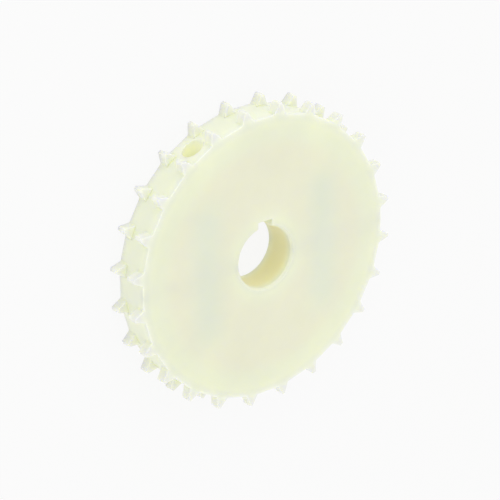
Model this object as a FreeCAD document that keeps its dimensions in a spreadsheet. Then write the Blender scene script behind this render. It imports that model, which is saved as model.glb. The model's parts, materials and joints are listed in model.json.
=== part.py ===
import FreeCAD, Part
import math
import os

import Sketcher

# Split sprocket for a plastic modular belt: a flat disc of natural polyamide,
# cut across its bore into two halves that bolt together round a shaft.
# The bore axis is Z, the origin is on it at mid width, and Y points at the keyway.
# The halves meet on the plane Y = 0, in the middle of two tooth gaps.

# Driving sizes in millimetres, with counts and angles in degrees.
SIZES = {
    "belt_pitch": 19.05,
    "teeth_per_half": 12,
    "tooth_addendum": 0.7,
    "tooth_depth": 5.5,
    "tooth_tip_width": 1.6,
    "tooth_flank_angle": 23.5,
    "tooth_tip_round": 0.5,
    "tooth_root_round": 0.9,
    "tooth_row_width": 5.0,
    "tooth_tip_bevel": 0.2,
    "gap_cutter_overrun": 0.02,
    "mid_band_relief": 0.25,
    "face_width": 18.0,
    "bore_radius": 15.0,
    "bore_bevel": 1.0,
    "keyway_width": 8.0,
    "keyway_depth": 3.3,
    "bolt_spacing": 66.0,
    "seat_height": 23.5,
    "bolt_diameter": 4.0,
    "bolt_length": 55.0,
    "bolt_end_bevel": 0.4,
    "bolt_hole_clearance": 0.5,
    "head_diameter": 7.0,
    "head_height": 4.0,
    "head_bevel": 0.3,
    "socket_across_flats": 3.0,
    "socket_depth": 2.0,
    "washer_diameter": 9.0,
    "washer_thickness": 0.8,
    "washer_hole_clearance": 0.3,
    "nut_across_flats": 7.0,
    "nut_height": 3.2,
    "nut_bevel_angle": 30.0,
    "thread_clearance": 0.1,
    "access_hole_clearance": 0.5,
}

# Sizes that follow from the driving ones, as formulas on the sheet.
HALF_TOOTH_ANGLE = "90 / Sizes.teeth_per_half * 1 deg"
PITCH_RADIUS = f"(Sizes.belt_pitch / (2 * sin({HALF_TOOTH_ANGLE})))"
TIP_RADIUS = f"({PITCH_RADIUS} + Sizes.tooth_addendum)"
ROOT_RADIUS = f"({TIP_RADIUS} - Sizes.tooth_depth)"
FLANK_LEAN = f"(Sizes.tooth_flank_angle * 1 deg + {HALF_TOOTH_ANGLE})"
FLANK_DISTANCE = (
    f"({TIP_RADIUS} * sin(Sizes.tooth_flank_angle * 1 deg)"
    " + Sizes.tooth_tip_width / 2 * cos(Sizes.tooth_flank_angle * 1 deg))"
)
CUTTER_TIP_RADIUS = f"({TIP_RADIUS} + Sizes.gap_cutter_overrun)"
CUTTER_REACH = f"({TIP_RADIUS} + Sizes.tooth_depth)"
MID_BAND_RADIUS = f"({ROOT_RADIUS} + Sizes.mid_band_relief)"
HALF_WIDTH = "(Sizes.face_width / 2)"
ROW_INNER_FACE = f"({HALF_WIDTH} - Sizes.tooth_row_width)"
BOLT_X = "(Sizes.bolt_spacing / 2)"
WASHER_TOP = "(Sizes.seat_height + Sizes.washer_thickness)"
BOLT_RADIUS = "(Sizes.bolt_diameter / 2)"
HEAD_RADIUS = "(Sizes.head_diameter / 2)"
BOLT_HOLE_RADIUS = f"({BOLT_RADIUS} + Sizes.bolt_hole_clearance / 2)"
NUT_CORNER_RADIUS = "(Sizes.nut_across_flats / (2 * cos(30 deg)))"
WIDEST_RADIUS = f"max(Sizes.washer_diameter / 2; {HEAD_RADIUS}; {NUT_CORNER_RADIUS})"
ACCESS_HOLE_RADIUS = f"({WIDEST_RADIUS} + Sizes.access_hole_clearance / 2)"
NUT_HOLE_RADIUS = f"({BOLT_RADIUS} + Sizes.thread_clearance / 2)"

UP = FreeCAD.Vector(0, 0, 1)
START, END, CENTRE = 1, 2, 3
ROOT_POINT, X_AXIS, Y_AXIS = (-1, 1), -1, -2
SMALLEST_CUT = 0.001

doc = FreeCAD.newDocument("SplitSprocket")
sheet = doc.addObject("Spreadsheet::Sheet", "Sizes")
for row, (name, value) in enumerate(SIZES.items(), start=1):
    sheet.set(f"A{row}", name)
    sheet.set(f"B{row}", str(value))
    sheet.setAlias(f"B{row}", name)
doc.recompute()


def value_of(formula):
    """A formula's present value in millimetres, or in radians for an angle."""
    value = sheet.evalExpression(formula.replace("Sizes.", ""))
    if not isinstance(value, FreeCAD.Units.Quantity):
        return float(value)
    if value.Unit == FreeCAD.Units.Angle:
        return math.radians(value.Value)
    return value.Value


def new_body(label):
    body = doc.addObject("PartDesign::Body", label)
    body.Label = label
    return body


def origin_feature(body, role):
    for feature in body.Origin.OriginFeatures:
        if feature.Role == role:
            return feature
    raise ValueError(f"no origin feature {role}")


def new_sketch(body, name, plane, height=None):
    sketch = body.newObject("Sketcher::SketchObject", name)
    sketch.AttachmentSupport = (origin_feature(body, plane), "")
    sketch.MapMode = "FlatFace"
    if height is not None:
        sketch.setExpression(".AttachmentOffset.Base.z", height)
    return sketch


def fix(sketch, kind, *where, formula):
    """Add a dimension whose value is bound to a formula on the sheet."""
    constraint = Sketcher.Constraint(kind, *where, value_of(formula))
    index = sketch.addConstraint(constraint)
    sketch.setExpression(f"Constraints[{index}]", formula)


def join(sketch, kind, *where):
    sketch.addConstraint(Sketcher.Constraint(kind, *where))


def line(sketch, start, end):
    return sketch.addGeometry(Part.LineSegment(FreeCAD.Vector(*start), FreeCAD.Vector(*end)))


def arc(sketch, centre, radius, first_angle, last_angle):
    ring = Part.Circle(FreeCAD.Vector(*centre), UP, radius)
    return sketch.addGeometry(Part.ArcOfCircle(ring, first_angle, last_angle))


def circle(sketch, radius, across=None):
    """A circle on the sketch's X axis, at its origin unless a distance is given."""
    middle = FreeCAD.Vector(value_of(across) if across else 0, 0, 0)
    index = sketch.addGeometry(Part.Circle(middle, UP, value_of(radius)))
    fix(sketch, "Radius", index, formula=radius)
    if across:
        join(sketch, "PointOnObject", index, CENTRE, X_AXIS)
        fix(sketch, "DistanceX", *ROOT_POINT, index, CENTRE, formula=across)
    else:
        join(sketch, "Coincident", index, CENTRE, *ROOT_POINT)


def outline(sketch, points):
    """A closed run of straight lines through corners given as pairs of formulas."""
    corners = [(value_of(across), value_of(along), 0) for across, along in points]
    lines = [
        line(sketch, corner, corners[(index + 1) % len(corners)])
        for index, corner in enumerate(corners)
    ]
    for index, (across, along) in enumerate(points):
        join(sketch, "Coincident", lines[index - 1], END, lines[index], START)
        for kind, formula, zero_line in (
            ("DistanceX", across, Y_AXIS),
            ("DistanceY", along, X_AXIS),
        ):
            if formula == "0":
                join(sketch, "PointOnObject", lines[index], START, zero_line)
            else:
                fix(sketch, kind, *ROOT_POINT, lines[index], START, formula=formula)


def hexagon(sketch, corner_radius):
    """A regular hexagon round the sketch's origin, with one corner on its X axis."""
    reach = value_of(corner_radius)
    turns = [math.radians(60 * step) for step in range(6)]
    corners = [(reach * math.cos(turn), reach * math.sin(turn), 0) for turn in turns]
    sides = [line(sketch, corners[step], corners[(step + 1) % 6]) for step in range(6)]
    ring = sketch.addGeometry(Part.Circle(FreeCAD.Vector(), UP, reach), True)
    join(sketch, "Coincident", ring, CENTRE, *ROOT_POINT)
    fix(sketch, "Radius", ring, formula=corner_radius)
    join(sketch, "PointOnObject", sides[0], START, X_AXIS)
    for step, side in enumerate(sides):
        join(sketch, "Coincident", sides[step - 1], END, side, START)
        join(sketch, "PointOnObject", side, START, ring)
        if step > 0:
            join(sketch, "Equal", sides[0], side)


def pad(body, sketch, name, length):
    feature = body.newObject("PartDesign::Pad", name)
    feature.Profile = sketch
    feature.setExpression("Length", length)
    return feature


def turn(body, sketch, name, kind, degrees):
    feature = body.newObject(f"PartDesign::{kind}", name)
    feature.Profile = sketch
    feature.ReferenceAxis = (origin_feature(body, "Z_Axis"), [""])
    feature.Angle = degrees
    return feature


def cut_through(body, sketch, name):
    feature = body.newObject("PartDesign::Pocket", name)
    feature.Profile = sketch
    feature.Type = "ThroughAll"
    return feature


def check_cut(body, feature, before):
    """A cut that points away from the solid leaves it as it was: stop if one does."""
    doc.recompute()
    if feature.Shape.Volume > before - SMALLEST_CUT:
        raise ValueError(f"{feature.Name} took nothing off {body.Label}")


def cut(body, sketch, name):
    before = body.Tip.Shape.Volume
    feature = cut_through(body, sketch, name)
    check_cut(body, feature, before)
    return feature


# The turned blank of one half: bore with bevelled mouths, the two rows still as
# plain rings with bevelled outer corners, and the lower band between them.
def turned_blank(body):
    bore_mouth = "(Sizes.bore_radius + Sizes.bore_bevel)"
    bore_wall_end = f"({HALF_WIDTH} - Sizes.bore_bevel)"
    ring_face_end = f"({TIP_RADIUS} - Sizes.tooth_tip_bevel)"
    ring_wall_end = f"({HALF_WIDTH} - Sizes.tooth_tip_bevel)"
    front = [
        ("Sizes.bore_radius", bore_wall_end),
        (bore_mouth, HALF_WIDTH),
        (ring_face_end, HALF_WIDTH),
        (TIP_RADIUS, ring_wall_end),
        (TIP_RADIUS, ROW_INNER_FACE),
        (MID_BAND_RADIUS, ROW_INNER_FACE),
    ]
    back = [(across, f"-{along}") for across, along in reversed(front)]
    sketch = new_sketch(body, f"{body.Name}_section", "XZ_Plane")
    outline(sketch, front + back)
    blank = turn(body, sketch, f"{body.Name}_blank", "Revolution", 180)
    doc.recompute()
    if blank.Shape.BoundBox.YMax < value_of("Sizes.bore_radius"):
        blank.Reversed = True
        doc.recompute()


# The gap between two teeth, drawn on its own middle line: a flat floor, a round at
# each root, straight leaning flanks, and the rounds of the two tooth tips.
def gap_profile(body):
    sketch = new_sketch(body, f"{body.Name}_gap", "XY_Plane", height=HALF_WIDTH)
    floor_x = value_of(ROOT_RADIUS)
    reach = value_of(CUTTER_REACH)
    lean = value_of(FLANK_LEAN)
    offset = value_of(FLANK_DISTANCE)
    root_round = value_of("Sizes.tooth_root_round")
    tip_round = value_of("Sizes.tooth_tip_round")
    root_x = floor_x + root_round
    root_y = (root_x * math.sin(lean) - offset - root_round) / math.cos(lean)
    tip_ring = value_of(CUTTER_TIP_RADIUS)
    tip_distance = tip_ring - tip_round
    tip_turn = lean - math.asin((offset - tip_round) / tip_distance)
    tip_x = tip_distance * math.cos(tip_turn)
    tip_y = tip_distance * math.sin(tip_turn)
    lean_x = math.sin(lean)
    lean_y = math.cos(lean)
    low = (root_x - root_round * lean_x, root_y + root_round * lean_y)
    high = (tip_x + tip_round * lean_x, tip_y - tip_round * lean_y)
    top = (tip_ring * math.cos(tip_turn), tip_ring * math.sin(tip_turn))

    floor = line(sketch, (floor_x, -root_y, 0), (floor_x, root_y, 0))
    flank = line(sketch, (*low, 0), (*high, 0))
    exit_line = line(sketch, (*top, 0), (reach, top[1], 0))
    root_arc = arc(sketch, (root_x, root_y, 0), root_round, math.pi / 2 + lean, math.pi)
    tip_arc = arc(sketch, (tip_x, tip_y, 0), tip_round, lean - math.pi / 2, tip_turn)
    low_flank = line(sketch, (low[0], -low[1], 0), (high[0], -high[1], 0))
    low_exit = line(sketch, (top[0], -top[1], 0), (reach, -top[1], 0))
    low_root = arc(sketch, (root_x, -root_y, 0), root_round, math.pi, 1.5 * math.pi - lean)
    low_tip = arc(sketch, (tip_x, -tip_y, 0), tip_round, -tip_turn, math.pi / 2 - lean)
    outside = line(sketch, (reach, -top[1], 0), (reach, top[1], 0))
    ring = sketch.addGeometry(Part.Circle(FreeCAD.Vector(), UP, tip_ring), True)

    join(sketch, "Coincident", ring, CENTRE, *ROOT_POINT)
    fix(sketch, "Radius", ring, formula=CUTTER_TIP_RADIUS)
    fix(sketch, "DistanceX", *ROOT_POINT, floor, END, formula=ROOT_RADIUS)
    join(sketch, "Tangent", floor, END, root_arc, END)
    join(sketch, "Tangent", root_arc, START, flank, START)
    join(sketch, "Tangent", flank, END, tip_arc, START)
    join(sketch, "Tangent", tip_arc, END, ring)
    fix(sketch, "Radius", root_arc, formula="Sizes.tooth_root_round")
    fix(sketch, "Radius", tip_arc, formula="Sizes.tooth_tip_round")
    fix(sketch, "Angle", flank, formula=FLANK_LEAN)
    fix(sketch, "Distance", *ROOT_POINT, flank, formula=FLANK_DISTANCE)
    join(sketch, "Coincident", tip_arc, END, exit_line, START)
    join(sketch, "Horizontal", exit_line)
    join(sketch, "Coincident", exit_line, END, outside, END)
    fix(sketch, "DistanceX", *ROOT_POINT, outside, END, formula=CUTTER_REACH)

    join(sketch, "Coincident", floor, START, low_root, START)
    join(sketch, "Coincident", low_root, END, low_flank, START)
    join(sketch, "Coincident", low_flank, END, low_tip, END)
    join(sketch, "Coincident", low_tip, START, low_exit, START)
    join(sketch, "Coincident", low_exit, END, outside, START)
    join(sketch, "Equal", root_arc, low_root)
    join(sketch, "Equal", tip_arc, low_tip)
    join(sketch, "Symmetric", floor, START, floor, END, X_AXIS)
    join(sketch, "Symmetric", flank, START, low_flank, START, X_AXIS)
    join(sketch, "Symmetric", flank, END, low_flank, END, X_AXIS)
    join(sketch, "Symmetric", tip_arc, END, low_tip, START, X_AXIS)
    join(sketch, "Symmetric", outside, START, outside, END, X_AXIS)
    return sketch


# One gap cut through both rows at the split face, then repeated along the half turn,
# so that the first and the last copy are half gaps that the other half completes.
def tooth_gaps(body):
    before = body.Tip.Shape.Volume
    gap = cut(body, gap_profile(body), f"{body.Name}_first_gap")
    pattern = body.newObject("PartDesign::PolarPattern", f"{body.Name}_gaps")
    pattern.Originals = [gap]
    pattern.Axis = (origin_feature(body, "Z_Axis"), [""])
    pattern.setExpression("Angle", "180 deg")
    pattern.setExpression("Occurrences", "Sizes.teeth_per_half + 1")
    body.Tip = pattern
    check_cut(body, pattern, before)


# Each bolt passes a clearance hole, and its head or nut goes down a wider access
# hole that runs from its seat out through the rim, in a tooth gap.
def bolt_holes(body):
    across_sides = (f"-{BOLT_X}", BOLT_X)
    bolt_sketch = new_sketch(body, f"{body.Name}_bolt_circles", "XZ_Plane")
    for across in across_sides:
        circle(bolt_sketch, BOLT_HOLE_RADIUS, across)
    cut(body, bolt_sketch, f"{body.Name}_bolt_holes")
    seat = "-Sizes.seat_height"
    access_sketch = new_sketch(body, f"{body.Name}_access_circles", "XZ_Plane", height=seat)
    for across in across_sides:
        circle(access_sketch, ACCESS_HOLE_RADIUS, across)
    cut(body, access_sketch, f"{body.Name}_access_holes")


def keyway(body):
    side = "(Sizes.keyway_width / 2)"
    top = "(Sizes.bore_radius + Sizes.keyway_depth)"
    sketch = new_sketch(body, f"{body.Name}_key_slot", "XY_Plane", height=HALF_WIDTH)
    outline(sketch, [(f"-{side}", "0"), (side, "0"), (side, top), (f"-{side}", top)])
    cut(body, sketch, f"{body.Name}_keyway")


def sprocket_half(label, has_keyway, turned):
    body = new_body(label)
    turned_blank(body)
    tooth_gaps(body)
    bolt_holes(body)
    if has_keyway:
        keyway(body)
    body.Placement = FreeCAD.Placement(FreeCAD.Vector(), FreeCAD.Rotation(UP, turned))
    return body


# Fasteners are drawn standing on Z with their seat at Z = 0 and then laid along Y.
def lay_along_y(body, side, height):
    along_y = FreeCAD.Rotation(FreeCAD.Vector(1, 0, 0), -90)
    body.Placement = FreeCAD.Placement(FreeCAD.Vector(), along_y)
    body.setExpression("Placement.Base.x", f"{side} * {BOLT_X}")
    body.setExpression("Placement.Base.y", height)


# Socket head cap screw: shank below the seat, head above it, hexagon socket on top.
def cap_screw(label, side):
    body = new_body(label)
    shank_end = "-Sizes.bolt_length"
    bevel_start = "-(Sizes.bolt_length - Sizes.bolt_end_bevel)"
    head_side_end = "(Sizes.head_height - Sizes.head_bevel)"
    section = new_sketch(body, f"{label}_section", "XZ_Plane")
    outline(section, [
        ("0", shank_end),
        (f"({BOLT_RADIUS} - Sizes.bolt_end_bevel)", shank_end),
        (BOLT_RADIUS, bevel_start),
        (BOLT_RADIUS, "0"),
        (HEAD_RADIUS, "0"),
        (HEAD_RADIUS, head_side_end),
        (f"({HEAD_RADIUS} - Sizes.head_bevel)", "Sizes.head_height"),
        ("0", "Sizes.head_height"),
    ])
    turn(body, section, f"{label}_turned", "Revolution", 360)
    doc.recompute()
    socket = new_sketch(body, f"{label}_hexagon", "XY_Plane", height="Sizes.head_height")
    hexagon(socket, "(Sizes.socket_across_flats / (2 * cos(30 deg)))")
    before = body.Tip.Shape.Volume
    recess = body.newObject("PartDesign::Pocket", f"{label}_socket")
    recess.Profile = socket
    recess.setExpression("Length", "Sizes.socket_depth")
    check_cut(body, recess, before)
    lay_along_y(body, side, WASHER_TOP)
    return body


def washer(label, side, height):
    body = new_body(label)
    sketch = new_sketch(body, f"{label}_rings", "XY_Plane")
    circle(sketch, "(Sizes.washer_diameter / 2)")
    circle(sketch, f"({BOLT_RADIUS} + Sizes.washer_hole_clearance / 2)")
    pad(body, sketch, f"{label}_pad", "Sizes.washer_thickness")
    lay_along_y(body, side, height)
    return body


# Hexagon nut with its six corners turned off at both ends.
def nut(label, side, height):
    body = new_body(label)
    sketch = new_sketch(body, f"{label}_hexagon", "XY_Plane")
    hexagon(sketch, NUT_CORNER_RADIUS)
    circle(sketch, NUT_HOLE_RADIUS)
    pad(body, sketch, f"{label}_pad", "Sizes.nut_height")
    doc.recompute()
    flat_radius = "(Sizes.nut_across_flats / 2)"
    outside = f"({NUT_CORNER_RADIUS} * 2 - {flat_radius})"
    drop = f"(({outside} - {flat_radius}) * tan(Sizes.nut_bevel_angle * 1 deg))"
    top = "Sizes.nut_height"
    for name, face, inner in (("lower", "0", drop), ("upper", top, f"({top} - {drop})")):
        bevel = new_sketch(body, f"{label}_{name}_bevel", "XZ_Plane")
        outline(bevel, [(flat_radius, face), (outside, face), (outside, inner)])
        before = body.Tip.Shape.Volume
        groove = turn(body, bevel, f"{label}_{name}_corners", "Groove", 360)
        check_cut(body, groove, before)
    lay_along_y(body, side, height)
    return body


parts = [
    sprocket_half("upper_half", has_keyway=True, turned=0),
    sprocket_half("lower_half", has_keyway=False, turned=180),
]
NUT_WASHER_Y = f"-{WASHER_TOP}"
NUT_Y = f"-({WASHER_TOP} + Sizes.nut_height)"
for side_name, side in (("left", -1), ("right", 1)):
    parts.append(cap_screw(f"{side_name}_bolt", side))
    parts.append(washer(f"{side_name}_bolt_washer", side, "Sizes.seat_height"))
    parts.append(washer(f"{side_name}_nut_washer", side, NUT_WASHER_Y))
    parts.append(nut(f"{side_name}_nut", side, NUT_Y))
doc.recompute()

for item in doc.Objects:
    if "Invalid" in item.State or "Error" in item.State:
        raise ValueError(f"{item.Name} failed: {item.State}")
for body in parts:
    if body.Shape.isNull() or not body.Shape.isValid() or len(body.Shape.Solids) != 1:
        raise ValueError(f"{body.Label} is not one valid solid")

os.makedirs("parts", exist_ok=True)
for body in parts:
    body.Shape.exportStep(os.path.join("parts", f"{body.Label}.step"))
    box = body.Shape.BoundBox
    print(
        f"{body.Label}: volume {body.Shape.Volume:.1f}, "
        f"x {box.XMin:.2f} to {box.XMax:.2f}, y {box.YMin:.2f} to {box.YMax:.2f}, "
        f"z {box.ZMin:.2f} to {box.ZMax:.2f}"
    )
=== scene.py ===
# %% [markdown]
# # A split sprocket in natural polyamide
# This lesson dresses a sprocket that drives a plastic modular belt: a pale, slightly
# translucent disc in two halves, which two screws hold together round a shaft.
# The solids come from a CAD model. The disc could be drawn again here, but the packed
# solids are exact, so the lesson loads them first and asks them where things are.

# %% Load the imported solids
import json
import math
import bmesh
import bpy
from mathutils import Matrix, Vector


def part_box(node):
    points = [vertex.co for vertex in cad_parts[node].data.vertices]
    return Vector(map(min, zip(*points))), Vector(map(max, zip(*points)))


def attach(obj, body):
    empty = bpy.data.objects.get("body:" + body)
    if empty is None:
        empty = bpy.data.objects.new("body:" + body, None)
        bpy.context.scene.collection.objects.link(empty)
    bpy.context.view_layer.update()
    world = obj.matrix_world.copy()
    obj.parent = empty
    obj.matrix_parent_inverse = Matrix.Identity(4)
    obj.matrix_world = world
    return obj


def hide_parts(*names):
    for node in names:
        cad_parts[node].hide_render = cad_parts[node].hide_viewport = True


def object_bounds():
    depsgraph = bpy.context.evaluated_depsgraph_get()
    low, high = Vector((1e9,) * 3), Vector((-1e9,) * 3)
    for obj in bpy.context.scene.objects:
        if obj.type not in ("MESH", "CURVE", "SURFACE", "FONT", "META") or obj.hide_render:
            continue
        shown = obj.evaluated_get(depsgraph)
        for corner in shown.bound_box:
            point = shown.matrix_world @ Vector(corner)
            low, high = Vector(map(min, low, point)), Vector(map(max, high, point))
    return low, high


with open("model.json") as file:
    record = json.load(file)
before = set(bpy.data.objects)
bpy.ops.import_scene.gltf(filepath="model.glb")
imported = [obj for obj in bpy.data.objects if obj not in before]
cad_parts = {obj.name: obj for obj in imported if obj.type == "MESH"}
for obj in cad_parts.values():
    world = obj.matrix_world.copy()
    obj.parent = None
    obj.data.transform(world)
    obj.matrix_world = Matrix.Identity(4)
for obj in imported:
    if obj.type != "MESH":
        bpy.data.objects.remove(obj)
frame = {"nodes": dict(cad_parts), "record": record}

cad_low, cad_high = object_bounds()
MM = 0.001
print("solids:", sorted(frame["nodes"]))
print("CAD box in mm:", [round(side / MM, 2) for side in cad_high - cad_low])

# %% [markdown]
# ## The camera
# The disc lies on its back face, and the photograph looks down on it from the left with
# a long lens. A camera could be pointed with a constraint, but the way it is rolled
# matters here, so its three own directions are worked out from angles: how far it is
# swung round the disc's upright, how far it is tipped up from the face's normal, and two
# small ones for how the part is turned about its bore and how the camera leans.

# %% Aim the camera
CAMERA_DISTANCE = 1127.5 * MM
swing = math.radians(37.654)
tip = math.radians(24.294)
turn_of_part = math.radians(-0.798)
lean = math.radians(-0.141)
back = Vector((-math.sin(swing) * math.cos(tip), math.sin(tip),
               math.cos(swing) * math.cos(tip)))
right = Vector((math.cos(swing), 0, math.sin(swing)))
to_part = Matrix.Rotation(turn_of_part, 3, "Z")
back, right = to_part @ back, to_part @ right
right = Matrix.Rotation(lean, 3, back) @ right
camera_data = bpy.data.cameras.new("camera")
camera = bpy.data.objects.new("camera", camera_data)
bpy.context.scene.collection.objects.link(camera)
aim = Matrix((right, back.cross(right), back)).transposed().to_4x4()
camera.matrix_world = Matrix.Translation(back * CAMERA_DISTANCE) @ aim
camera_data.clip_start = 10 * MM
bpy.context.scene.camera = camera
print("height above the disc in mm:", round(camera.matrix_world.translation.z / MM))

# %% [markdown]
# The lens is measured in pixels of the photograph, and the photograph isn't centred on
# its lens. A crop could be guessed by eye, but the shift of the camera is exact.

# %% Set the lens
IMAGE_PIXELS = 500
FOCAL_PIXELS = 2469.7
CENTRE_IN_IMAGE = (253.84, 251.42)
camera_data.lens = FOCAL_PIXELS / IMAGE_PIXELS * camera_data.sensor_width
camera_data.shift_x = (IMAGE_PIXELS / 2 - CENTRE_IN_IMAGE[0]) / IMAGE_PIXELS
camera_data.shift_y = (CENTRE_IN_IMAGE[1] - IMAGE_PIXELS / 2) / IMAGE_PIXELS
bpy.context.scene.view_settings.view_transform = "Standard"
print("lens in mm:", round(camera_data.lens, 1))

# %% [markdown]
# ## The light and the floor
# The photograph was taken in a white tent, so light comes from all round and shadows are
# faint. A sky of one pale colour gives that, and two broad lamps add the little direction
# that shapes the teeth. Brightness stays at the level where a colour renders as written.
# The floor would turn grey at that level. More light would burn out the pale plastic, so
# the floor itself shows the camera mostly plain white and keeps a part of its shading,
# which is where the shadow of the disc shows. A tent's white floor also lets light
# through from below, and that keeps the lower edge of the disc from looking dark.


# %% Nodes in one line
def feed(tree, socket, value):
    """Fills an input with a plain value or with the output of another node."""
    if isinstance(value, bpy.types.NodeSocket):
        tree.links.new(value, socket)
    else:
        socket.default_value = value


def add_node(tree, kind, settings=None, **inputs):
    """Adds a node, sets its options and fills the inputs that are named."""
    node = tree.nodes.new(kind)
    for option, value in (settings or {}).items():
        setattr(node, option, value)
    for name, value in inputs.items():
        socket = next(socket for socket in node.inputs
                      if socket.enabled and socket.name.replace(" ", "_") == name)
        feed(tree, socket, value)
    return node


def maths(tree, operation, *numbers, clamp=False):
    """A number worked out from one or two others and, if clamped, held between 0 and 1."""
    node = add_node(tree, "ShaderNodeMath", {"operation": operation, "use_clamp": clamp})
    for socket, number in zip(node.inputs, numbers):
        feed(tree, socket, number)
    return node.outputs[0]


# %% Two looks for one surface
def seen_rays(tree):
    """1 for a ray from the camera, off a shiny surface or through glass, and 0 for others."""
    rays = add_node(tree, "ShaderNodeLightPath").outputs
    indirect = maths(tree, "ADD", rays["Is Glossy Ray"], rays["Is Transmission Ray"])
    return maths(tree, "ADD", rays["Is Camera Ray"], indirect, clamp=True)


def shader_mix(tree, share, first, second):
    """The first of two shaders where the share is 0, and the second one where it is 1."""
    node = add_node(tree, "ShaderNodeMixShader", Fac=share)
    tree.links.new(first.outputs[0], node.inputs[1])
    tree.links.new(second.outputs[0], node.inputs[2])
    return node.outputs[0]


# %% White surroundings
SKY_COLOUR = (1.0, 1.0, 0.99, 1.0)
SKY_STRENGTH = 0.96
SEEN_SKY = (0.956, 0.956, 0.956, 1.0)
world = bpy.data.worlds.new("white tent")
bpy.context.scene.world = world
world.use_nodes = True
tree = world.node_tree
sky = tree.nodes["Background"]
sky.inputs["Color"].default_value = SKY_COLOUR
sky.inputs["Strength"].default_value = SKY_STRENGTH
seen_sky = add_node(tree, "ShaderNodeBackground", Color=SEEN_SKY, Strength=1.0)
surroundings = shader_mix(tree, seen_rays(tree), sky, seen_sky)
tree.links.new(surroundings, tree.nodes["World Output"].inputs[0])
print("world:", world.name)


# %% Broad lamps
def broad_lamp(name, place, size, watts):
    """A square lamp at a place in metres, facing the middle of the disc."""
    data = bpy.data.lights.new(name, "AREA")
    data.size, data.energy = size, watts
    lamp = bpy.data.objects.new(name, data)
    bpy.context.scene.collection.objects.link(lamp)
    facing = Vector(place).to_track_quat("Z", "Y").to_matrix().to_4x4()
    lamp.matrix_world = Matrix.Translation(place) @ facing


broad_lamp("key lamp", place=(0.05, 0.9, 0.36), size=0.6, watts=1.3)
broad_lamp("fill lamp", place=(-0.8, -0.4, 0.4), size=0.8, watts=0.6)
print("lamps:", [light.name for light in bpy.data.lights])

# %% The floor
FLOOR_REACH = 3.0
floor_shape = bmesh.new()
bmesh.ops.create_grid(floor_shape, x_segments=1, y_segments=1, size=FLOOR_REACH)
bmesh.ops.translate(floor_shape, verts=floor_shape.verts, vec=(0, 0, cad_low.z))
floor_mesh = bpy.data.meshes.new("floor")
floor_shape.to_mesh(floor_mesh)
floor_shape.free()
floor = bpy.data.objects.new("floor", floor_mesh)
bpy.context.scene.collection.objects.link(floor)
print("floor height in mm:", round(cad_low.z / MM, 2))

# %% Paint for the floor
FLOOR_PLAIN_SHARE = 0.88
FLOOR_LIT_SHARE = 0.48
FLOOR_WHITE = (0.86, 0.86, 0.86, 1.0)
FLOOR_SEEN = (0.975, 0.975, 0.975, 1.0)
floor_paint = bpy.data.materials.new("white floor")
floor_paint.use_nodes = True
tree = floor_paint.node_tree
tree.nodes.clear()
share = add_node(tree, "ShaderNodeMapRange", Value=seen_rays(tree),
                 To_Min=FLOOR_LIT_SHARE, To_Max=FLOOR_PLAIN_SHARE)
matt = add_node(tree, "ShaderNodeBsdfDiffuse", Color=FLOOR_WHITE)
plain = add_node(tree, "ShaderNodeEmission", Color=FLOOR_SEEN, Strength=1.0)
add_node(tree, "ShaderNodeOutputMaterial",
         Surface=shader_mix(tree, share.outputs[0], matt, plain))
floor_mesh.materials.append(floor_paint)
print("floor paint:", floor_paint.name)

# %% [markdown]
# ## Natural polyamide
# The real plastic is undyed, so light goes a few millimetres in and comes back ivory.
# A plain matt paint could take the same colour, but it would lose the glow of the thin
# teeth and of the rim. Subsurface scattering carries the light through the solid instead.
# The cutting tools leave a finish too: rings on the turned faces, and lines across the
# milled flats and the bored hole. Both are bands of noise, one that depends only on the
# distance from the bore axis and one that depends only on the height along it.

# %% Marks that the cutting tools left
RING_SPACING = 0.35 * MM
MILLED_SPACING = 0.45 * MM


def length_of(tree, **sides):
    """The length of a line that has these sides along X, Y and Z."""
    line = add_node(tree, "ShaderNodeCombineXYZ", **sides)
    measured = add_node(tree, "ShaderNodeVectorMath", {"operation": "LENGTH"},
                        Vector=line.outputs[0])
    return measured.outputs["Value"]


def bands(tree, distance, spacing, detail):
    """Noise in bands, which changes only along one distance."""
    noise = add_node(tree, "ShaderNodeTexNoise", {"noise_dimensions": "1D"},
                     W=maths(tree, "MULTIPLY", distance, 1 / spacing), Scale=1.0, Detail=detail)
    return noise.outputs[0]


def cutter_marks(tree, normal, radius, height):
    """Bump from turning rings on the faces and cutter lines on the sides."""
    facing = add_node(tree, "ShaderNodeSeparateXYZ", Vector=normal)
    marks = add_node(tree, "ShaderNodeMix", {"data_type": "FLOAT"},
                     Factor=maths(tree, "ABSOLUTE", facing.outputs["Z"]))
    feed(tree, marks.inputs["A"], bands(tree, height, MILLED_SPACING, detail=2.0))
    feed(tree, marks.inputs["B"], bands(tree, radius, RING_SPACING, detail=3.0))
    return marks.outputs[0]


# %% [markdown]
# The plastic has one colour, but it doesn't look the same all over, so light and shade are
# painted into its colour: thin parts are painted paler for the light that comes through
# them, the tooth tips greyer as painted shade, the walls of the bore and of the access
# holes a fuller yellow as painted shade, and the screws inside cast a painted shadow, a
# faint cool band. A picture could be painted and wrapped round the disc, but tones that
# fade between two distances need no picture and stay sharp from close by.

# %% Tones of the plastic
IVORY = (0.81, 0.81, 0.65, 1.0)
GREENISH_IVORY = (0.81, 0.835, 0.665, 1.0)
# Painted light: the thin rim and teeth paler, for the light that comes through the thin plastic.
THIN_RIM_LIGHT_IVORY = (0.865, 0.895, 0.755, 1.0)
# Painted shade: the tooth tips greyer.
TIP_SHADE_IVORY = (0.775, 0.79, 0.72, 1.0)
# Painted shade: the bore wall a fuller yellow.
BORE_SHADE_IVORY = (0.84, 0.805, 0.50, 1.0)
# Painted shade: the walls of the access holes a fuller yellow, deeper in.
HOLE_SHADE_IVORY = (0.85, 0.86, 0.66, 1.0)
GLOW_IVORY = (0.86, 0.86, 0.66, 1.0)
NO_TINT = (1.0, 1.0, 1.0, 1.0)
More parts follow.
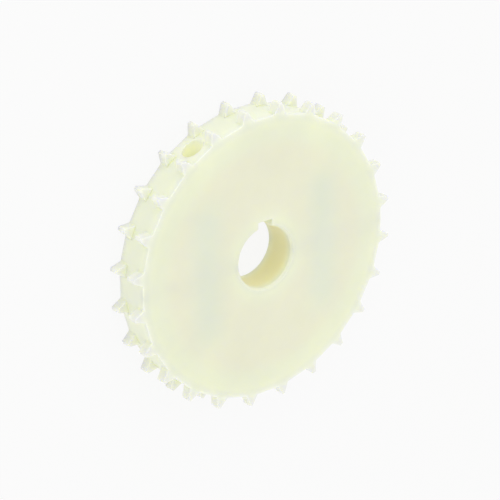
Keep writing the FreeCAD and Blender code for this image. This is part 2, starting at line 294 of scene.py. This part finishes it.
# Painted shadow of the screws inside the plastic: a faint cool band.
STEEL_SHADOW_TINT = (0.94, 0.98, 1.02, 1.0)
EDGE_SHADE = (0.935, 0.935, 0.985, 1.0)

# %% Where each tone begins and where it is full
BORE_RADIUS = frame["record"]["mounts"][0]["dims"]["r_mm"] * MM
TEETH_REACH = cad_high.x
FACE_HEIGHT = cad_high.z
ACCESS_RADIUS = 4.75 * MM
screw_low, screw_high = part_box("right_bolt")
SCREW_PLACE = (screw_low.x + screw_high.x) / 2
OUTER_FACE = (TEETH_REACH - 23 * MM, TEETH_REACH - 13 * MM)
INNER_FACE = (BORE_RADIUS + 12 * MM, BORE_RADIUS + 1 * MM)
THIN_RIM = (TEETH_REACH - 11 * MM, TEETH_REACH)
TOOTH_TIPS = (TEETH_REACH - 5 * MM, TEETH_REACH - 1.5 * MM)
BORE_WALL = (BORE_RADIUS + 0.6 * MM, BORE_RADIUS + 0.1 * MM)
BORE_DEPTH = (FACE_HEIGHT, 3 * MM)
HOLE_WALL = (ACCESS_RADIUS + 0.15 * MM, ACCESS_RADIUS + 0.05 * MM)
HOLE_DEPTH = (TEETH_REACH - 4 * MM, TEETH_REACH - 8.5 * MM)
# Spans of the painted shadow of the screws.
BESIDE_SCREW = (15 * MM, 0)
ALONG_SCREW = (screw_high.y + 16 * MM, screw_high.y - 4 * MM)
UNDER_FACE = (FACE_HEIGHT - 3.5 * MM, FACE_HEIGHT - 0.5 * MM)
RIM_EDGE = (TEETH_REACH - 9.5 * MM, TEETH_REACH - 6 * MM)
BORE_EDGE = (BORE_RADIUS + 4 * MM, BORE_RADIUS + 0.5 * MM)
print("screw axis in mm from the bore axis:", round(SCREW_PLACE / MM, 2))


# %% Distances and blends
def across_from_screw(tree, parts):
    """Distance along X from the nearer screw axis."""
    return maths(tree, "SUBTRACT", maths(tree, "ABSOLUTE", parts["X"]), SCREW_PLACE)


def off_screw_axis(tree, parts):
    """Distance from the nearer screw axis, which runs along Y on either side of the bore."""
    return length_of(tree, X=across_from_screw(tree, parts), Z=parts["Z"])


def fade(tree, value, span):
    """Rises smoothly from 0 to 1 as a number goes from a span's first end to its second."""
    node = add_node(tree, "ShaderNodeMapRange", {"interpolation_type": "SMOOTHSTEP"},
                    Value=value, From_Min=span[0], From_Max=span[1])
    return node.outputs[0]


def colour_mix(tree, share, first, second):
    """A blend of two colours, either of which may come from another node."""
    node = add_node(tree, "ShaderNodeMix", {"data_type": "RGBA"}, Factor=share)
    sockets = [socket for socket in node.inputs if socket.type == "RGBA"]
    for socket, colour in zip(sockets, (first, second)):
        feed(tree, socket, colour)
    return next(socket for socket in node.outputs if socket.type == "RGBA")


# %% Paint the tones over each other
CLOUD_SCALE = 45.0
CLOUD_CONTRAST = 0.015


def plastic_tone(tree, radius, in_bore, in_hole):
    """Ivory where the plastic is thick, with painted light making it paler where it is thin and
    painted shade making the tooth tips greyer and the bore and access holes yellower.
    """
    tone = IVORY
    for share, colour in ((fade(tree, radius, OUTER_FACE), GREENISH_IVORY),
                          (fade(tree, radius, INNER_FACE), GREENISH_IVORY),
                          (fade(tree, radius, THIN_RIM), THIN_RIM_LIGHT_IVORY),
                          (fade(tree, radius, TOOTH_TIPS), TIP_SHADE_IVORY),
                          (in_bore, BORE_SHADE_IVORY), (in_hole, HOLE_SHADE_IVORY)):
        tone = colour_mix(tree, share, tone, colour)
    return tone


def plastic_shade(tree, parts, radius, height):
    """The painted shadow of the steel inside, a cool band, and a little painted shade along the
    rim and round the bore.
    """
    # The painted shadow of the screws lies over the steel, and painted shade lies along the
    # edges.
    beside = maths(tree, "ABSOLUTE", across_from_screw(tree, parts))
    along = maths(tree, "ABSOLUTE", parts["Y"])
    over_steel = maths(tree, "MULTIPLY", fade(tree, beside, BESIDE_SCREW),
                       fade(tree, along, ALONG_SCREW))
    by_edge = maths(tree, "ADD", fade(tree, radius, RIM_EDGE), fade(tree, radius, BORE_EDGE))
    at_edge = maths(tree, "MULTIPLY", fade(tree, height, UNDER_FACE), by_edge)
    steel_shadow = colour_mix(tree, over_steel, NO_TINT, STEEL_SHADOW_TINT)
    return colour_mix(tree, at_edge, steel_shadow, EDGE_SHADE)


def clouded(tree, place, tone, shade):
    """A tone under its shade, with faint clouds, since no plastic is even all through."""
    shaded = add_node(tree, "ShaderNodeVectorMath", {"operation": "MULTIPLY"})
    feed(tree, shaded.inputs[0], tone)
    feed(tree, shaded.inputs[1], shade)
    clouds = add_node(tree, "ShaderNodeTexNoise", Vector=place,
                      Scale=CLOUD_SCALE, Detail=3.0, Roughness=0.6)
    cloudy = add_node(tree, "ShaderNodeMapRange", Value=clouds.outputs[0],
                      From_Min=0.3, From_Max=0.7,
                      To_Min=1 - CLOUD_CONTRAST, To_Max=1 + CLOUD_CONTRAST)
    return add_node(tree, "ShaderNodeVectorMath", {"operation": "SCALE"},
                    Vector=shaded.outputs[0], Scale=cloudy.outputs[0]).outputs[0]


# %% [markdown]
# Light that enters the plastic spreads up to 6 mm before it leaves. The spread shrinks
# towards the split, where the two halves meet so closely that the joint can't be seen:
# without that, each half would glow along its own edge and draw a line across the disc.
# A renderer lets little light reach the deep walls of the bore and of the access holes,
# so they get back what would come through the plastic round them, as a faint glow.

# %% The plastic itself
BORE_GLOW = 0.01
HOLE_GLOW = 0.145
SPLIT_FADE = 4 * MM
SPREAD_AT_SPLIT = 0.02 * MM
SPREAD = 6 * MM
SPREAD_OF_COLOURS = (1.0, 0.97, 0.6)
GRAIN_SCALE = 1800.0
SMOOTHEST_PLASTIC, ROUGHEST_PLASTIC = 0.38, 0.56
MARK_DEPTH = 0.01 * MM


def natural_polyamide():
    """Undyed plastic that light goes into, with the marks of the tools that cut it."""
    paint = bpy.data.materials.new("natural polyamide")
    paint.use_nodes = True
    tree = paint.node_tree
    shader = tree.nodes["Principled BSDF"].inputs
    where = add_node(tree, "ShaderNodeTexCoord").outputs
    parts = add_node(tree, "ShaderNodeSeparateXYZ", Vector=where["Object"]).outputs
    radius = length_of(tree, X=parts["X"], Y=parts["Y"])
    height = maths(tree, "ABSOLUTE", parts["Z"])

    # Masks for the painted shade on the bore wall and in the access holes, which also carry their
    # painted glow.
    near_bore = fade(tree, radius, BORE_WALL)
    in_bore = maths(tree, "MULTIPLY", near_bore, fade(tree, height, BORE_DEPTH))
    on_wall = fade(tree, off_screw_axis(tree, parts), HOLE_WALL)
    in_hole = maths(tree, "MULTIPLY", on_wall, fade(tree, radius, HOLE_DEPTH))
    tone = plastic_tone(tree, radius, in_bore, in_hole)
    shade = plastic_shade(tree, parts, radius, height)
    feed(tree, shader["Base Color"], clouded(tree, where["Object"], tone, shade))

    spread = add_node(tree, "ShaderNodeMapRange", Value=maths(tree, "ABSOLUTE", parts["Y"]),
                      From_Max=SPLIT_FADE, To_Min=SPREAD_AT_SPLIT, To_Max=SPREAD)
    feed(tree, shader["Subsurface Scale"], spread.outputs[0])
    shader["Subsurface Weight"].default_value = 1.0
    shader["Subsurface Radius"].default_value = SPREAD_OF_COLOURS
    glow = maths(tree, "ADD", maths(tree, "MULTIPLY", near_bore, BORE_GLOW),
                 maths(tree, "MULTIPLY", in_hole, HOLE_GLOW))
    feed(tree, shader["Emission Strength"], glow)
    shader["Emission Color"].default_value = GLOW_IVORY

    grain = add_node(tree, "ShaderNodeTexNoise", Vector=where["Object"],
                     Scale=GRAIN_SCALE, Detail=2.0)
    fine = add_node(tree, "ShaderNodeMapRange", Value=grain.outputs[0],
                    To_Min=SMOOTHEST_PLASTIC, To_Max=ROUGHEST_PLASTIC)
    feed(tree, shader["Roughness"], fine.outputs[0])
    marks = cutter_marks(tree, where["Normal"], radius, parts["Z"])
    marked = add_node(tree, "ShaderNodeBump", Height=marks, Strength=0.35, Distance=MARK_DEPTH)
    feed(tree, shader["Normal"], marked.outputs[0])
    shader["IOR"].default_value = 1.5
    shader["Specular IOR Level"].default_value = 0.25
    return paint


polyamide = natural_polyamide()
print("material:", polyamide.name, "with", len(polyamide.node_tree.nodes), "nodes")

# %% [markdown]
# ## The two halves
# Each half leaves the mill with its sharp edges broken by a scraper, and those fine
# rounds catch the light. The solids have the sharp corners. A bevel could be cut by hand
# along every edge, but a modifier does it for all of them at once. It needs a mesh whose
# faces share their corners, so a copy of the loose triangles is merged first. Edges on
# the split stay sharp: they are clamped together, so nobody can scrape them.

# %% Copy a solid
WELD_REACH = 0.0005 * MM
SPLIT_REACH = 0.001 * MM
FLAT_ANGLE = math.radians(0.5)
SHARP_ANGLE = math.radians(60)


def merged_copy(node_name):
    """The triangles of a solid, joined up into faces, with its sharp edges marked."""
    shape = bmesh.new()
    shape.from_mesh(frame["nodes"][node_name].data)
    bmesh.ops.remove_doubles(shape, verts=shape.verts, dist=WELD_REACH)
    bmesh.ops.dissolve_limit(shape, angle_limit=FLAT_ANGLE,
                             verts=shape.verts, edges=shape.edges)
    shape.normal_update()
    weight = shape.edges.layers.float.new("bevel_weight_edge")
    for edge in shape.edges:
        on_split = all(abs(corner.co.y) < SPLIT_REACH for corner in edge.verts)
        edge[weight] = float(edge.calc_face_angle(0) > SHARP_ANGLE and not on_split)
    return shape


# %% Finish a piece
SMOOTH_ANGLE = math.radians(32)
ROUND_STEPS = 2
PLASTIC_ROUND = 0.15 * MM


def finished_piece(shape, piece_name, node_name, paint, edge_round=0.0):
    """Makes a built shape into a piece that stands for a solid and rounds its marked edges."""
    open_edges = sum(1 for edge in shape.edges if not edge.is_manifold)
    mesh = bpy.data.meshes.new(piece_name)
    shape.to_mesh(mesh)
    shape.free()
    piece = bpy.data.objects.new(piece_name, mesh)
    bpy.context.scene.collection.objects.link(piece)
    mesh.shade_smooth()
    mesh.set_sharp_from_angle(angle=SMOOTH_ANGLE)
    mesh.materials.clear()
    mesh.materials.append(paint)
    if edge_round:
        rounding = piece.modifiers.new("broken edges", "BEVEL")
        rounding.width, rounding.segments = edge_round, ROUND_STEPS
        rounding.limit_method = "WEIGHT"
        rounding.use_clamp_overlap, rounding.harden_normals = False, True
    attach(piece, "root")
    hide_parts(node_name)
    print(piece_name, "faces:", len(mesh.polygons), "open edges:", open_edges)


for half in ("upper_half", "lower_half"):
    finished_piece(merged_copy(half), f"{half}_finished", half, polyamide,
                   PLASTIC_ROUND)

# %% [markdown]
# ## The steel of the fasteners
# Screws, nuts and washers are plain stainless steel. The heads and nuts are turned from
# bar, so fine rings run round each screw's own axis. A picture of brushed steel could be
# wrapped round them, but the same noise bands as on the plastic give the rings without
# one, once they are measured from the nearer screw axis.

# %% Turned steel
STEEL_COLOUR = (0.62, 0.61, 0.59, 1.0)
TURNED_SPACING = 0.12 * MM
TURNED_DEPTH = 0.005 * MM
SMEAR_SCALE = 350.0
SMOOTHEST_STEEL, ROUGHEST_STEEL = 0.20, 0.40


def turned_steel():
    """Bare steel with fine rings from the lathe and a smeared gloss."""
    paint = bpy.data.materials.new("turned steel")
    paint.use_nodes = True
    tree = paint.node_tree
    shader = tree.nodes["Principled BSDF"].inputs
    where = add_node(tree, "ShaderNodeTexCoord").outputs
    parts = add_node(tree, "ShaderNodeSeparateXYZ", Vector=where["Object"]).outputs
    slanted = maths(tree, "ADD", off_screw_axis(tree, parts), parts["Y"])
    smear = add_node(tree, "ShaderNodeTexNoise", Vector=where["Object"],
                     Scale=SMEAR_SCALE, Detail=4.0)
    gloss = add_node(tree, "ShaderNodeMapRange", Value=smear.outputs[0],
                     To_Min=SMOOTHEST_STEEL, To_Max=ROUGHEST_STEEL)
    feed(tree, shader["Roughness"], gloss.outputs[0])
    marked = add_node(tree, "ShaderNodeBump", Strength=0.25, Distance=TURNED_DEPTH,
                      Height=bands(tree, slanted, TURNED_SPACING, detail=3.0))
    feed(tree, shader["Normal"], marked.outputs[0])
    shader["Metallic"].default_value = 1.0
    shader["Base Color"].default_value = STEEL_COLOUR
    return paint


steel = turned_steel()
print("material:", steel.name, "with", len(steel.node_tree.nodes), "nodes")

# %% [markdown]
# ## Building the screws
# Each screw is a socket head cap screw. On a lathe and a thread roller it is made from
# one bar; here it grows ring by ring in the same order: a ring of points at each change
# of size, and each ring bridged to the next. Two rings in one plane could be joined the
# wrong way round, so the rings are held apart while they are bridged and only then moved
# to their heights. The whole screw stands upright while it is built, with the underside
# of its head at height zero, and is laid along Y at the end.

# %% Rings and bridges
SIDES = 96
HELD_APART = 1 * MM


def ring(shape, radius, height, sides=SIDES):
    """A ring of edges round the Z axis."""
    level = Matrix.Translation((0, 0, height))
    made = bmesh.ops.create_circle(shape, cap_ends=False, segments=sides, radius=radius,
                                   matrix=level)
    return list({edge for corner in made["verts"] for edge in corner.link_edges})


def turned(shape, stations):
    """Bridges rings at a list of (radius, height), with a face over the first one only."""
    rings = [ring(shape, radius, step * HELD_APART)
             for step, (radius, _) in enumerate(stations)]
    for lower, upper in zip(rings, rings[1:]):
        bmesh.ops.bridge_loops(shape, edges=lower + upper)
    bmesh.ops.edgeloop_fill(shape, edges=rings[0])
    for made, (_, height) in zip(rings, stations):
        for corner in {corner for edge in made for corner in edge.verts}:
            corner.co.z = height
    return rings


# %% [markdown]
# The grip of the head is a straight knurl, a ring of fine ribs. Pressing every second
# point of two rings a little inwards gives it without a single extra face. The hexagon
# socket is sunk in the same way as the rings are joined: its mouth is bridged while it is
# held above the head, and then it is lowered into place.

# %% Head with its knurl
KNURL_DEPTH = 0.14 * MM
UNDERSIDE_BEVEL = 0.2 * MM
KNURL_START = 0.4 * MM
KNURL_END = 0.55 * MM
TOP_BEVEL_HEIGHT = 0.35 * MM
TOP_BEVEL_WIDTH = 0.3 * MM


def head_stations(radius, height):
    """The rings of a head, from its underside to its top; the third and fourth hold the knurl."""
    return [(radius - UNDERSIDE_BEVEL, 0), (radius, UNDERSIDE_BEVEL), (radius, KNURL_START),
            (radius, height - KNURL_END), (radius, height - TOP_BEVEL_HEIGHT),
            (radius - TOP_BEVEL_WIDTH, height)]


def press_every_second(edges, depth):
    """Moves every second point of a ring towards the axis."""
    corners = sorted({corner for edge in edges for corner in edge.verts},
                     key=lambda corner: math.atan2(corner.co.y, corner.co.x))
    for corner in corners[::2]:
        corner.co.xy *= 1 - depth / corner.co.xy.length


# %% Hexagon socket
SOCKET_ACROSS = 3.0 * MM
SOCKET_DEPTH = 2.0 * MM
HEXAGON_SIDES = 6
JUST_PAST_CORNERS = SOCKET_ACROSS * 0.6


def sink_socket(shape, top, height):
    """Closes the top ring of a head with a flat that has a hexagon socket in it."""
    hexagon = ring(shape, SOCKET_ACROSS / math.sqrt(3), height + SOCKET_DEPTH, HEXAGON_SIDES)
    bmesh.ops.subdivide_edges(shape, edges=hexagon, cuts=SIDES // HEXAGON_SIDES - 1)
    mouth = [edge for edge in shape.edges if edge.is_wire
             and all(corner.co.xy.length < JUST_PAST_CORNERS for corner in edge.verts)]
    bmesh.ops.bridge_loops(shape, edges=top + mouth)
    mouth_corners = list({corner for edge in mouth for corner in edge.verts})
    bmesh.ops.translate(shape, verts=mouth_corners, vec=(0, 0, -SOCKET_DEPTH))
    pushed = bmesh.ops.extrude_edge_only(shape, edges=mouth)["geom"]
    floor_corners = [item for item in pushed if isinstance(item, bmesh.types.BMVert)]
    bmesh.ops.translate(shape, verts=floor_corners, vec=(0, 0, -SOCKET_DEPTH))
    floor_edges = [item for item in pushed if isinstance(item, bmesh.types.BMEdge)
                   and all(corner in floor_corners for corner in item.verts)]
    bmesh.ops.edgeloop_fill(shape, edges=floor_edges)


# %% [markdown]
# A thread is a ridge wound round a core. Its profile is a small trapezium with the
# standard 60 degree flanks, swept round the axis while it climbs one pitch a turn.

# %% Thread
PITCH = 0.7 * MM
CREST_FLAT = PITCH / 8
FLANK_ANGLE = math.radians(30)
TURN_STEPS = 28


def half_width_at_root(root, crest):
    """Half the width of the ridge where it leaves its core or its hole."""
    return CREST_FLAT / 2 + abs(crest - root) * math.tan(FLANK_ANGLE)


def wound_ridge(shape, root, crest, low, high):
    """A ridge from radius root to radius crest that winds from height low to height high."""
    half_root = half_width_at_root(root, crest)
    blank = bmesh.ops.create_grid(shape, x_segments=1, y_segments=1, size=1.0)["verts"]
    for corner in blank:
        outer = corner.co.x > 0
        up = 1 if corner.co.y > 0 else -1
        reach = CREST_FLAT / 2 if outer else half_root
        corner.co = Vector((crest if outer else root, 0, low + half_root + up * reach))
    profile = list({face for corner in blank for face in corner.link_faces})
    edges = list({edge for face in profile for edge in face.edges})
    turns = (high - low - 2 * half_root) / PITCH
    steps = round(turns * TURN_STEPS)
    bmesh.ops.spin(shape, geom=blank + edges + profile, axis=(0, 0, 1), cent=(0, 0, 0),
                   dvec=(0, 0, PITCH / TURN_STEPS), angle=2 * math.pi / TURN_STEPS * steps,
                   steps=steps, use_duplicate=False)
    return turns


def close_up(shape):
    """Joins the points that lie on each other and turns every face outwards."""
    bmesh.ops.remove_doubles(shape, verts=shape.verts, dist=WELD_REACH)
    bmesh.ops.recalc_face_normals(shape, faces=shape.faces)


# %% A whole screw
THREAD_LENGTH = 20 * MM
THREAD_RUNOUT = 0.4 * MM
SCREW_RADIUS = 2.0 * MM
CORE_RADIUS = 1.58 * MM
CREST_RADIUS = 1.97 * MM
ROOT_SINK = 0.05 * MM
END_BEVEL = 0.2 * MM


def cap_screw(head_radius, head_height, length):
    """A screw with the underside of its head at height zero and its end at minus length."""
    shape = bmesh.new()
    thread_top = THREAD_LENGTH - length
    shank = [(CORE_RADIUS - END_BEVEL, -length), (CORE_RADIUS, END_BEVEL - length),
             (CORE_RADIUS, thread_top), (SCREW_RADIUS, thread_top + THREAD_RUNOUT),
             (SCREW_RADIUS, 0)]
    rings = turned(shape, shank + head_stations(head_radius, head_height))
    for grip in rings[-4:-2]:
        press_every_second(grip, KNURL_DEPTH)
    sink_socket(shape, rings[-1], head_height)
    turns = wound_ridge(shape, CORE_RADIUS - ROOT_SINK, CREST_RADIUS,
                        END_BEVEL - length, thread_top + THREAD_RUNOUT / 2)
    close_up(shape)
    print("screw length in mm:", round(length / MM, 2), "turns of thread:", round(turns, 1))
    return shape


# %% Lay the screws in their holes
LAY_ALONG_Y = Matrix.Rotation(math.radians(-90), 4, "X")


def seat_of(side):
    """Where the underside of one side's screw head lies along Y, on top of its washer."""
    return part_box(f"{side}_bolt_washer")[1].y


def lay_along_y(shape, node_name, seat):
    """Lays an upright shape on the axis of a solid, with its height zero at the seat."""
    low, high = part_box(node_name)
    lay = Matrix.Translation(((low.x + high.x) / 2, seat, 0)) @ LAY_ALONG_Y
    bmesh.ops.transform(shape, matrix=lay, verts=shape.verts)


for side in ("left", "right"):
    bolt = f"{side}_bolt"
    low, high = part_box(bolt)
    seat = seat_of(side)
    shape = cap_screw((high.x - low.x) / 2, high.y - seat, seat - low.y)
    lay_along_y(shape, bolt, seat)
    finished_piece(shape, f"{side}_cap_screw", bolt, steel)

# %% [markdown]
# ## Washers and nuts
# The washers are stamped, so they have no knife edge: they keep the shape of the solids
# and get a fine round. The nuts already have the bevels of the solids. A nut's thread is
# the same wound ridge as the screw's, pointing inwards from the wall of its hole. It
# starts half a pitch away from the screw's ridge, so each one runs in the other's groove.

# %% A nut with its thread
NUT_HOLE_RADIUS = 2.05 * MM
NUT_CREST_RADIUS = 1.67 * MM


def nut_thread(low, high, screw_end):
    """A thread for the inside of a nut between two heights, in step with the screw's."""
    shape = bmesh.new()
    root = NUT_HOLE_RADIUS + ROOT_SINK
    screw_ridge = half_width_at_root(CORE_RADIUS - ROOT_SINK, CREST_RADIUS)
    nut_ridge = half_width_at_root(root, NUT_CREST_RADIUS)
    in_step = screw_end + END_BEVEL + screw_ridge + PITCH / 2 - nut_ridge
    start = in_step + math.ceil((low - in_step) / PITCH) * PITCH
    wound_ridge(shape, root, NUT_CREST_RADIUS, start, high)
    close_up(shape)
    return shape


def threaded_nut(side):
    """The solid of one side's nut, with the thread laid into its hole."""
    nut = f"{side}_nut"
    low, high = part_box(nut)
    seat = seat_of(side)
    thread = nut_thread(low.y - seat, high.y - seat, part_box(f"{side}_bolt")[0].y - seat)
    lay_along_y(thread, nut, seat)
    carried = bpy.data.meshes.new(f"{nut}_thread")
    thread.to_mesh(carried)
    thread.free()
    shape = merged_copy(nut)
    shape.from_mesh(carried)
    bpy.data.meshes.remove(carried)
    return shape


# %% Washers and nuts of both screws
WASHER_ROUND = 0.12 * MM
for side in ("left", "right"):
    for washer in ("bolt_washer", "nut_washer"):
        name = f"{side}_{washer}"
        finished_piece(merged_copy(name), f"{name}_stamped", name, steel, WASHER_ROUND)
    finished_piece(threaded_nut(side), f"{side}_threaded_nut", f"{side}_nut", steel)
